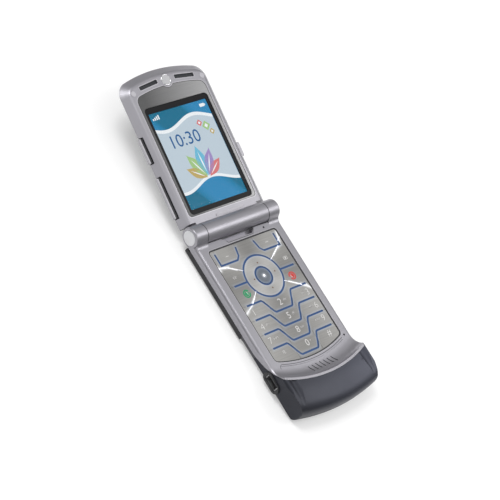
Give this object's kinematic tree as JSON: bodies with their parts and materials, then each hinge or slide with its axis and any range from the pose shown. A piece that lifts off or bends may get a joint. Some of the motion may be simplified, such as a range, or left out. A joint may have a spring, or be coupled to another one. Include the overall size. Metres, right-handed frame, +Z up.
{
  "type": "flip phone",
  "caption": "Slim clamshell mobile phone opened flat: base with etched metal keypad and navigation ring, curved chin and side port, round hinge barrel, and a flip with a colour display.",
  "frame": {"origin": "middle of the base's flat back, on the surface it lies on", "axes": "+X to the right across the phone, +Y from the chin towards the flip, +Z up out of the keypad"},
  "size_m": [0.0538, 0.1692, 0.021],
  "materials": {
    "housing_silver": "satin",
    "chin_blue_grey": "satin",
    "cover_dark": "satin",
    "battery_cover_dark": "satin",
    "rear_dark": "matte",
    "keypad_nickel": "brushed",
    "light_guide_blue": "gloss",
    "polyester_film": "gloss",
    "board_green": "matte",
    "black_plastic": "matte",
    "grey_plastic": "satin",
    "steel": "satin",
    "chrome": "polished",
    "battery_grey": "matte",
    "surround_grey": "brushed",
    "bezel_black": "gloss",
    "screen": "lit",
    "sub_screen": "gloss",
    "lens_glass": "polished",
    "rubber_grey": "matte",
    "grille_mesh": "matte",
    "copper_film": "satin",
    "brass": "satin"
  },
  "bodies": {
    "base": {"base_front_housing": "housing_silver", "base_rear_housing": "rear_dark", "keypad_plate": "keypad_nickel", "key_light_pad": "light_guide_blue", "dome_sheet": "polyester_film", "main_board": "board_green", "antenna_carrier": "black_plastic", "microphone": "steel", "chin_cover": "chin_blue_grey", "loudspeaker": "black_plastic", "vibration_motor": "steel", "side_port": "steel", "port_surround": "black_plastic", "battery": "battery_grey", "base_screws": "steel", "hinge_end_caps": "housing_silver", "hinge_cartridge": "steel", "hinge_stop": "grey_plastic"},
    "flip": {"flip_inner_housing": "housing_silver", "flip_outer_cover": "cover_dark", "display_surround": "surround_grey", "display_bezel": "bezel_black", "main_display": "screen", "outer_display": "sub_screen", "outer_lens": "lens_glass", "flip_board": "board_green", "earpiece": "black_plastic", "earpiece_grilles": "grille_mesh", "badge_disc": "chrome", "flip_bumpers": "rubber_grey", "camera_module": "black_plastic", "camera_ring": "chrome", "hinge_pin": "steel", "hinge_flex": "copper_film"},
    "battery_cover": {"battery_cover": "battery_cover_dark"},
    "motor_weight": {"motor_weight": "brass"},
    "nav_actuator": {"nav_actuator": "steel"},
    "nav_ring": {"nav_ring": "keypad_nickel"},
    "select_key": {"select_key": "keypad_nickel"},
    "volume_rocker": {"volume_rocker": "housing_silver"},
    "smart_key": {"smart_key": "housing_silver"},
    "voice_key": {"voice_key": "housing_silver"},
    "left_soft_key": {"left_soft_key": "keypad_nickel"},
    "right_soft_key": {"right_soft_key": "keypad_nickel"},
    "clear_key": {"clear_key": "keypad_nickel"},
    "camera_key": {"camera_key": "keypad_nickel"},
    "send_key": {"send_key": "keypad_nickel"},
    "end_key": {"end_key": "keypad_nickel"},
    "key_1": {"key_1": "keypad_nickel"},
    "key_2": {"key_2": "keypad_nickel"},
    "key_3": {"key_3": "keypad_nickel"},
    "key_4": {"key_4": "keypad_nickel"},
    "key_5": {"key_5": "keypad_nickel"},
    "key_6": {"key_6": "keypad_nickel"},
    "key_7": {"key_7": "keypad_nickel"},
    "key_8": {"key_8": "keypad_nickel"},
    "key_9": {"key_9": "keypad_nickel"},
    "star_key": {"star_key": "keypad_nickel"},
    "zero_key": {"zero_key": "keypad_nickel"},
    "hash_key": {"hash_key": "keypad_nickel"}
  },
  "joints": [
    {"name": "flip_hinge", "type": "hinge", "parent": "base", "child": "flip", "pos_m": [0, 0.0465, 0.0077], "axis": [1, 0, 0], "range_deg": [0, 169.4]},
    {"name": "battery_cover_slide", "type": "slide", "parent": "base", "child": "battery_cover", "axis": [0, 1, 0], "range_m": [0, 0.002]},
    {"name": "motor_spin", "type": "hinge", "parent": "base", "child": "motor_weight", "pos_m": [-0.005, -0.0105, 0.0024], "axis": [1, 0, 0], "continuous": true},
    {"name": "left_soft_key_press", "type": "slide", "parent": "base", "child": "left_soft_key", "axis": [0, 0, -1], "range_m": [0, 0.00025], "stiffness_N_per_m": 200},
    {"name": "right_soft_key_press", "type": "slide", "parent": "base", "child": "right_soft_key", "axis": [0, 0, -1], "range_m": [0, 0.00025], "stiffness_N_per_m": 200},
    {"name": "clear_key_press", "type": "slide", "parent": "base", "child": "clear_key", "axis": [0, 0, -1], "range_m": [0, 0.00025], "stiffness_N_per_m": 200},
    {"name": "camera_key_press", "type": "slide", "parent": "base", "child": "camera_key", "axis": [0, 0, -1], "range_m": [0, 0.00025], "stiffness_N_per_m": 200},
    {"name": "send_key_press", "type": "slide", "parent": "base", "child": "send_key", "axis": [0, 0, -1], "range_m": [0, 0.00025], "stiffness_N_per_m": 200},
    {"name": "end_key_press", "type": "slide", "parent": "base", "child": "end_key", "axis": [0, 0, -1], "range_m": [0, 0.00025], "stiffness_N_per_m": 200},
    {"name": "key_1_press", "type": "slide", "parent": "base", "child": "key_1", "axis": [0, 0, -1], "range_m": [0, 0.00025], "stiffness_N_per_m": 200},
    {"name": "key_2_press", "type": "slide", "parent": "base", "child": "key_2", "axis": [0, 0, -1], "range_m": [0, 0.00025], "stiffness_N_per_m": 200},
    {"name": "key_3_press", "type": "slide", "parent": "base", "child": "key_3", "axis": [0, 0, -1], "range_m": [0, 0.00025], "stiffness_N_per_m": 200},
    {"name": "key_4_press", "type": "slide", "parent": "base", "child": "key_4", "axis": [0, 0, -1], "range_m": [0, 0.00025], "stiffness_N_per_m": 200},
    {"name": "key_5_press", "type": "slide", "parent": "base", "child": "key_5", "axis": [0, 0, -1], "range_m": [0, 0.00025], "stiffness_N_per_m": 200},
    {"name": "key_6_press", "type": "slide", "parent": "base", "child": "key_6", "axis": [0, 0, -1], "range_m": [0, 0.00025], "stiffness_N_per_m": 200},
    {"name": "key_7_press", "type": "slide", "parent": "base", "child": "key_7", "axis": [0, 0, -1], "range_m": [0, 0.00025], "stiffness_N_per_m": 200},
    {"name": "key_8_press", "type": "slide", "parent": "base", "child": "key_8", "axis": [0, 0, -1], "range_m": [0, 0.00025], "stiffness_N_per_m": 200},
    {"name": "key_9_press", "type": "slide", "parent": "base", "child": "key_9", "axis": [0, 0, -1], "range_m": [0, 0.00025], "stiffness_N_per_m": 200},
    {"name": "star_key_press", "type": "slide", "parent": "base", "child": "star_key", "axis": [0, 0, -1], "range_m": [0, 0.00025], "stiffness_N_per_m": 200},
    {"name": "zero_key_press", "type": "slide", "parent": "base", "child": "zero_key", "axis": [0, 0, -1], "range_m": [0, 0.00025], "stiffness_N_per_m": 200},
    {"name": "hash_key_press", "type": "slide", "parent": "base", "child": "hash_key", "axis": [0, 0, -1], "range_m": [0, 0.00025], "stiffness_N_per_m": 200},
    {"name": "select_key_press", "type": "slide", "parent": "base", "child": "select_key", "axis": [0, 0, -1], "range_m": [0, 0.00025], "stiffness_N_per_m": 200},
    {"name": "nav_tilt_up_down", "type": "hinge", "parent": "base", "child": "nav_actuator", "pos_m": [0, 0.0191, 0.0071], "axis": [1, 0, 0], "range_deg": [-1.3, 1.3], "stiffness_Nm_per_rad": 0.05},
    {"name": "nav_tilt_sideways", "type": "hinge", "parent": "nav_actuator", "child": "nav_ring", "pos_m": [0, 0.0191, 0.0071], "axis": [0, 1, 0], "range_deg": [-1.3, 1.3], "stiffness_Nm_per_rad": 0.05},
    {"name": "volume_rock", "type": "hinge", "parent": "flip", "child": "volume_rocker", "pos_m": [-0.0249, 0.06674, 0.00803], "axis": [0, -0.184, 0.9829], "range_deg": [-1.2, 1.2], "stiffness_Nm_per_rad": 0.05},
    {"name": "smart_key_press", "type": "slide", "parent": "flip", "child": "smart_key", "axis": [1, 0, 0], "range_m": [0, 0.0004], "stiffness_N_per_m": 200},
    {"name": "voice_key_press", "type": "slide", "parent": "flip", "child": "voice_key", "axis": [-1, 0, 0], "range_m": [0, 0.0004], "stiffness_N_per_m": 200}
  ]
}
